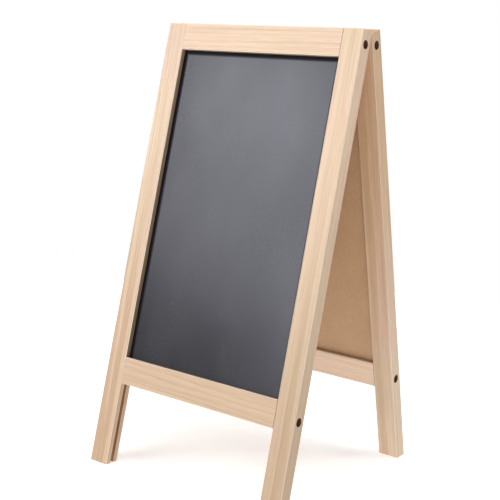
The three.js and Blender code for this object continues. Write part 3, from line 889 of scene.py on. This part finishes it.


# ---- Making the pieces ----

# Each wooden piece is sawn from its own place in a tree. It is also tinted towards its low and high
# ends with painted light and shade: the front frame paler at the top and darker low down, the rear
# frame darker and warmer at the top, in the gap between the frames. The values are pine's arguments.
DEEPER = (0.73, 0.705, 0.665)
DEEPER_STILL = (0.66, 0.635, 0.595)
MELLOW = (0.93, 0.855, 0.775)
COOL = (0.90, 0.925, 0.955)
FAIR = (1.02, 1.05, 1.10)
BRIGHT = (1.05, 1.06, 1.08)
CUTS = {
    "front_left_stile": {
        "pith": (-34, 27),
        "tilt": (0.012, -0.01),
        "spacing": 3.4,
        "strength": 0.9,
        "seed": 1.0,
        "ends": (DEEPER, FAIR),
        "band": (1.5, 3.0, 0.8, 10.0),
    },
    "front_right_stile": {
        "pith": (-46, 40),
        "tilt": (0.004, 0.01),
        "spacing": 3.0,
        "strength": 0.7,
        "seed": 2.0,
        "ends": (DEEPER_STILL, BRIGHT),
        "band": (2.6, 3.4, 0.6, -70.0),
    },
    "front_top_rail": {
        "pith": (40, 31),
        "tilt": (0.01, 0.004),
        "spacing": 3.8,
        "strength": 0.6,
        "seed": 3.0,
        "ends": (BRIGHT, BRIGHT),
    },
    "front_bottom_rail": {
        "pith": (-38, 34),
        "tilt": (-0.015, 0.01),
        "spacing": 3.2,
        "strength": 0.8,
        "seed": 4.0,
        "ends": (DEEPER, DEEPER),
    },
    "rear_left_stile": {
        "pith": (30, -34),
        "tilt": (0.01, -0.012),
        "spacing": 3.3,
        "strength": 0.8,
        "seed": 5.0,
        "ends": (PLAIN, MELLOW),
    },
    "rear_right_stile": {
        "pith": (41, 30),
        "tilt": (-0.01, 0.006),
        "spacing": 2.9,
        "strength": 0.8,
        "seed": 6.0,
        "ends": (COOL, MELLOW),
        "band": (4.5, 3.4, 0.75, 150.0),
    },
    "rear_top_rail": {
        "pith": (-36, -30),
        "tilt": (0.012, 0.0),
        "spacing": 3.6,
        "strength": 0.7,
        "seed": 7.0,
        "ends": (MELLOW, MELLOW),
    },
    "rear_bottom_rail": {
        "pith": (33, 38),
        "tilt": (0.0, 0.014),
        "spacing": 3.1,
        "strength": 0.8,
        "seed": 8.0,
        "ends": (FAIR, FAIR),
    },
}
ALONG_X = Matrix.Rotation(math.pi / 2, 4, "Y")
METAL_CREASE = 50.0


def wooden_piece(node, bm, grain, facing, body):
    """grain carries the piece's own axes, z along the grain, to the frame's axes."""
    place = frame_matrix(facing)
    looks = [
        pine(node + "_pine", place @ grain, place, **CUTS[node]),
        shaded_cut_wood(node + "_bore_walls", place, BORE_SHADE_TONES),
        shaded_cut_wood(node + "_groove_walls", place, GROOVE_SHADE_TONES),
    ]
    finish_piece(node, "wood", bm, place, body, looks)


def build_stile(name, facing, side, hand, steel):
    """A stile and its two screws."""
    body, place = name + "_frame", frame_matrix(facing)
    grain = Matrix.Translation((side * (WIDTH - STILE_WIDTH) / 2, -THICKNESS / 2, STILE_LENGTH / 2))
    wooden_piece(f"{name}_{hand}_stile", stile(side), grain, facing, body)
    seat = side * (WIDTH / 2 - COUNTERBORE_DEPTH + FRAME_SCREW["height"] + CLOSE_GAP)
    for level, rise in SCREW_RISES.items():
        own = place @ along((seat, -THICKNESS / 2, rise), (-side, 0, 0))
        node = f"{name}_{level}_{hand}_screw"
        finish_piece(node, "steel", frame_screw(), own, body, [steel], METAL_CREASE)


def build_leaf(name, facing, side, hand, brass):
    """A hinge leaf and its two screws."""
    body, place, centre = name + "_frame", frame_matrix(facing), side * HINGE_OFFSET
    node = f"{hand}_hinge_{name}_leaf"
    finish_piece(node, "brass", hinge_leaf(facing, centre), place, body, [brass])
    for end in (-1, 1):
        where = "outer" if side * end > 0 else "inner"
        x = centre + end * HINGE_SCREW_SPREAD
        start = (x, CLOSE_GAP + LEAF_THICKNESS, PIN_RISE - HINGE_SCREW_DROP)
        own = place @ along(start, (0, -1, 0))
        node = f"{hand}_hinge_{name}_{where}_screw"
        finish_piece(node, "brass", hinge_screw(), own, body, [brass], METAL_CREASE)


def build_frame(name, facing, steel, brass):
    """A frame's stiles, rails and panel, with its screws and its leaves of the two hinges."""
    body, place = name + "_frame", frame_matrix(facing)
    for side in (-1, 1):
        hand = "left" if side * facing < 0 else "right"
        build_stile(name, facing, side, hand, steel)
        build_leaf(name, facing, side, hand, brass)
    for level, base, panel_side in (("top", TOP_RAIL_BASE, -1), ("bottom", LEG_BELOW_RAIL, 1)):
        grain = Matrix.Translation((0, -THICKNESS / 2, base + RAIL_HEIGHT / 2)) @ ALONG_X
        wood = rail(base, panel_side, SCREW_RISES[level])
        wooden_piece(f"{name}_{level}_rail", wood, grain, facing, body)
    faces = [chalkboard_paint(name + "_chalkboard_paint", place), fibreboard(name + "_bare_board", place)]
    finish_piece(name + "_panel", "board", panel(), place, body, faces)


def build_pin(hand, side, brass):
    crown = side * HINGE_OFFSET - HINGE_LENGTH / 2 - CLOSE_GAP - PIN_HEAD_HEIGHT
    place = frame_matrix(1) @ along((crown, FOLDED_SPACE / 2, PIN_RISE), (1, 0, 0))
    node = hand + "_hinge_pin"
    finish_piece(node, "brass", hinge_pin(), place, "front_frame", [brass], METAL_CREASE)


steel = metal("blackened_steel", SCREW_STEEL, SCREW_TARNISH, (2.0, 2.0, 0.4), 0.38)
brass = metal("brassed_steel", BRASS, BRASS_TARNISH, (0.25, 3.0, 3.0), 0.32)
build_frame("front", 1, steel, brass)
build_frame("rear", -1, steel, brass)
build_pin("left", -1, brass)
build_pin("right", 1, brass)


# ---- Floor, light and camera ----

# Azimuth and elevation in degrees, distance and size in metres, power in watts. The bank of small
# softboxes on the front left is what the chalkboard mirrors, from its lower edge upwards.
SOFTBOXES = [
    (-16, 6, 1.15, 0.42, 3.3),
    (-38, 6, 1.15, 0.42, 0.25),
    (-36, 17, 1.15, 0.50, 2.1),
    (-36, 30, 1.15, 0.50, 1.9),
    (40, 8, 1.15, 0.50, 2.5),
    (122, 35, 1.20, 0.60, 4.1),
    (0, 90, 1.30, 0.90, 9.0),
]
AMBIENT = 0.15
FLOOR_RADIUS = 0.72
# The floor's glow is painted light that lightens the shadows on it, and it glows more towards its rim.
FLOOR_GLOW = 0.50  # the floor is lit from beneath, more so towards its rim
AIM_HEIGHT = 0.2
CAMERA_PLACE = (0.5352, -0.7402, 0.3636)
CAMERA_YAW = math.radians(36.511)
CAMERA_PITCH = math.radians(-8.469)
CAMERA_ROLL = math.radians(2.419)
SENSOR_WIDTH = 36.0
LENS = 76.92
SHIFT = -0.09  # of the sensor's width, upwards
WHITE = (1.0, 1.0, 1.0, 1.0)


def plain_floor():
    s = Shader("pale_floor", Matrix.Scale(MM, 4))
    soft = s.noise(s.position, (0.004, 0.004, 0.004), 2, 0.5)
    colour = s.mix(soft, (0.90, 0.90, 0.90), (0.92, 0.92, 0.92))
    rim = FLOOR_RADIUS / MM
    glow = s.remap(s.vector("LENGTH", s.position), 0.45 * rim, 0.97 * rim, FLOOR_GLOW, 1.0)
    material = s.finish(colour, 0.8, emission_color=WHITE, emission_strength=glow)
    bm = bmesh.new()
    bmesh.ops.create_circle(bm, cap_ends=True, radius=FLOOR_RADIUS, segments=96)
    floor = new_object("floor", mesh_from(bm, "floor"))
    floor.data.materials.append(material)


def softbox(name, azimuth, elevation, distance, size, power):
    """A round softbox aimed at the board. Azimuth is from -Y towards +X, in degrees."""
    light = bpy.data.lights.new(name, "AREA")
    light.shape = "DISK"
    light.size = size
    light.energy = power
    lamp = new_object(name, light)
    turn, rise = math.radians(azimuth), math.radians(elevation)
    away = Vector((math.sin(turn) * math.cos(rise), -math.cos(turn) * math.cos(rise), math.sin(rise)))
    lamp.location = Vector((0, 0, AIM_HEIGHT)) + away * distance
    lamp.rotation_euler = away.to_track_quat("Z", "Y").to_euler()


def studio_world():
    """White to the eye all round, and a dim even light on the board."""
    world = bpy.data.worlds.new("studio")
    bpy.context.scene.world = world
    world.use_nodes = True
    tree = world.node_tree
    tree.nodes.clear()
    output = tree.nodes.new("ShaderNodeOutputWorld")
    seen = tree.nodes.new("ShaderNodeBackground")
    seen.inputs["Color"].default_value = WHITE
    lighting = tree.nodes.new("ShaderNodeBackground")
    lighting.inputs["Color"].default_value = WHITE
    lighting.inputs["Strength"].default_value = AMBIENT
    path = tree.nodes.new("ShaderNodeLightPath")
    choose = tree.nodes.new("ShaderNodeMixShader")
    tree.links.new(path.outputs["Is Camera Ray"], choose.inputs[0])
    tree.links.new(lighting.outputs[0], choose.inputs[1])
    tree.links.new(seen.outputs[0], choose.inputs[2])
    tree.links.new(choose.outputs[0], output.inputs["Surface"])


def product_camera():
    """Seen from the front right, level with the upper part of the board, looking slightly down."""
    view = Matrix.Rotation(CAMERA_YAW, 4, "Z")
    view @= Matrix.Rotation(math.pi / 2 + CAMERA_PITCH, 4, "X")
    view @= Matrix.Rotation(CAMERA_ROLL, 4, "Z")
    data = bpy.data.cameras.new("camera")
    data.sensor_width = SENSOR_WIDTH
    data.lens = LENS
    data.shift_y = SHIFT
    camera = new_object("camera", data)
    camera.matrix_world = Matrix.Translation(CAMERA_PLACE) @ view
    bpy.context.scene.camera = camera


plain_floor()
studio_world()
for number, row in enumerate(SOFTBOXES):
    softbox(f"softbox_{number}", *row)
product_camera()
bpy.context.scene.view_settings.view_transform = "Standard"
